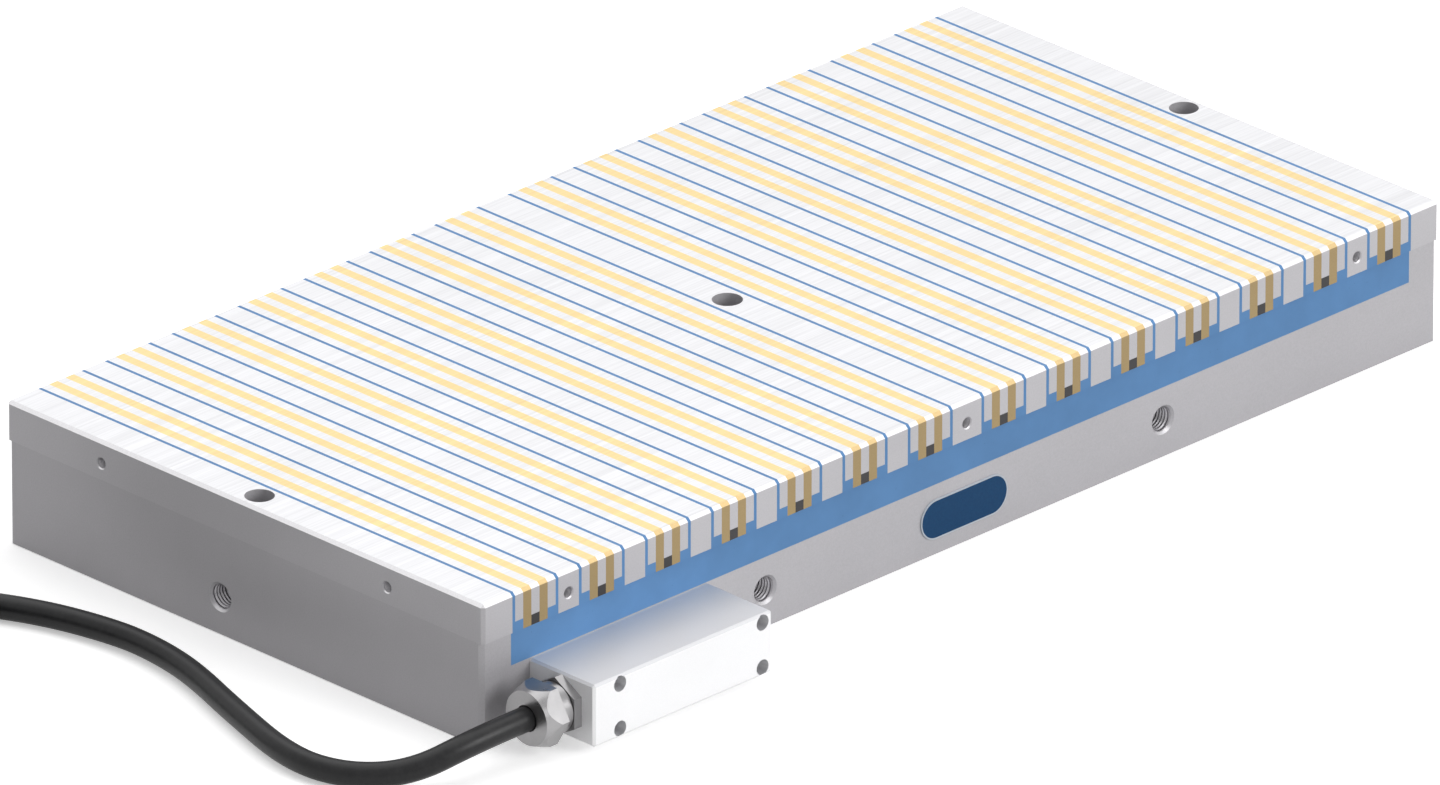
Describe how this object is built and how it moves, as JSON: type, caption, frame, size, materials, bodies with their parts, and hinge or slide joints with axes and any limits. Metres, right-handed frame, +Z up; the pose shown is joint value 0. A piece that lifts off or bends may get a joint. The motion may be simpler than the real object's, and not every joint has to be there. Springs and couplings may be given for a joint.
{
  "type": "magnetic chuck",
  "caption": "Rectangular magnetic chuck with crosswise steel and brass pole strips, side threads, a connection housing and a cable with a round connector.",
  "frame": {"origin": "centre of the base's underside, on the axis of the centre mounting hole", "axes": "+X along the chuck, away from the end where the cable leaves; +Y across it, away from the connection housing; +Z up through the work face"},
  "size_m": [0.881, 0.3985, 0.069],
  "materials": {
    "base_steel": "ground",
    "plate_steel": "ground",
    "brass_strip": "ground",
    "ferrite": "matte",
    "resin": "smooth",
    "alnico": "cast and ground",
    "copper_winding": "enamelled copper",
    "black_screw": "black oxide",
    "red_wire": "smooth",
    "housing_aluminium": "satin",
    "seal_rubber": "matte",
    "terminal_plastic": "matte",
    "terminal_brass": "plain",
    "thrust_plastic": "smooth",
    "gland_metal": "nickel plated",
    "cable_jacket": "satin",
    "tie_fabric": "hook and loop",
    "connector_metal": "nickel plated",
    "pin_metal": "gold plated",
    "badge_metal": "printed"
  },
  "bodies": {
    "chuck": {"base_body": "base_steel", "end_bar_left": "plate_steel", "end_bar_right": "plate_steel", "wide_pole_01": "plate_steel", "wide_pole_02": "plate_steel", "wide_pole_03": "plate_steel", "wide_pole_04": "plate_steel", "wide_pole_05": "plate_steel", "wide_pole_06": "plate_steel", "centre_pole": "plate_steel", "wide_pole_07": "plate_steel", "wide_pole_08": "plate_steel", "wide_pole_09": "plate_steel", "wide_pole_10": "plate_steel", "wide_pole_11": "plate_steel", "wide_pole_12": "plate_steel", "pole_pack_01": "plate_steel", "pole_pack_02": "plate_steel", "pole_pack_03": "plate_steel", "pole_pack_04": "plate_steel", "pole_pack_05": "plate_steel", "pole_pack_06": "plate_steel", "pole_pack_07": "plate_steel", "pole_pack_08": "plate_steel", "pole_pack_09": "plate_steel", "pole_pack_10": "plate_steel", "pole_pack_11": "plate_steel", "pole_pack_12": "plate_steel", "pole_pack_13": "plate_steel", "pole_pack_14": "plate_steel", "brass_strips": "brass_strip", "magnet_bars": "ferrite", "plate_resin": "resin", "base_resin": "resin", "reversible_magnets": "alnico", "magnet_coils": "copper_winding", "pole_screws": "black_screw", "coil_leads": "red_wire", "connection_housing": "housing_aluminium", "housing_gasket": "seal_rubber", "housing_screws": "black_screw", "terminal_block": "terminal_plastic", "terminal_screws": "terminal_brass", "gland_body": "gland_metal", "gland_o_ring": "seal_rubber", "gland_seal": "seal_rubber", "cable_tail": "cable_jacket", "cable_conductors": "red_wire", "cable_tube": "cable_jacket", "cable_coil": "cable_jacket", "coil_ties": "tie_fabric", "cable_end": "cable_jacket", "connector_clamp_nut": "connector_metal", "connector_shell": "connector_metal", "connector_insert": "terminal_plastic", "connector_pins": "pin_metal", "badge_plate": "badge_metal"},
    "thrust_ring": {"thrust_ring": "thrust_plastic"},
    "gland_nut": {"gland_nut": "gland_metal"},
    "coupling_ring": {"coupling_ring": "connector_metal"}
  },
  "joints": [
    {"name": "gland_thrust_slide", "type": "slide", "parent": "chuck", "child": "thrust_ring", "axis": [-1, 0, 0], "range_m": [0, 0.003]},
    {"name": "gland_nut_turn", "type": "hinge", "parent": "thrust_ring", "child": "gland_nut", "pos_m": [-0.2867, -0.169, 0.0186], "axis": [-1, 0, 0], "range_deg": [0, 720]},
    {"name": "coupling_ring_turn", "type": "hinge", "parent": "chuck", "child": "coupling_ring", "pos_m": [-0.571, 0.196, 0.0135], "axis": [-1, 0, 0], "continuous": true}
  ],
  "couplings": [
    {"joint": "gland_thrust_slide", "follows": "gland_nut_turn", "m_per_rad": 0.00023873}
  ]
}
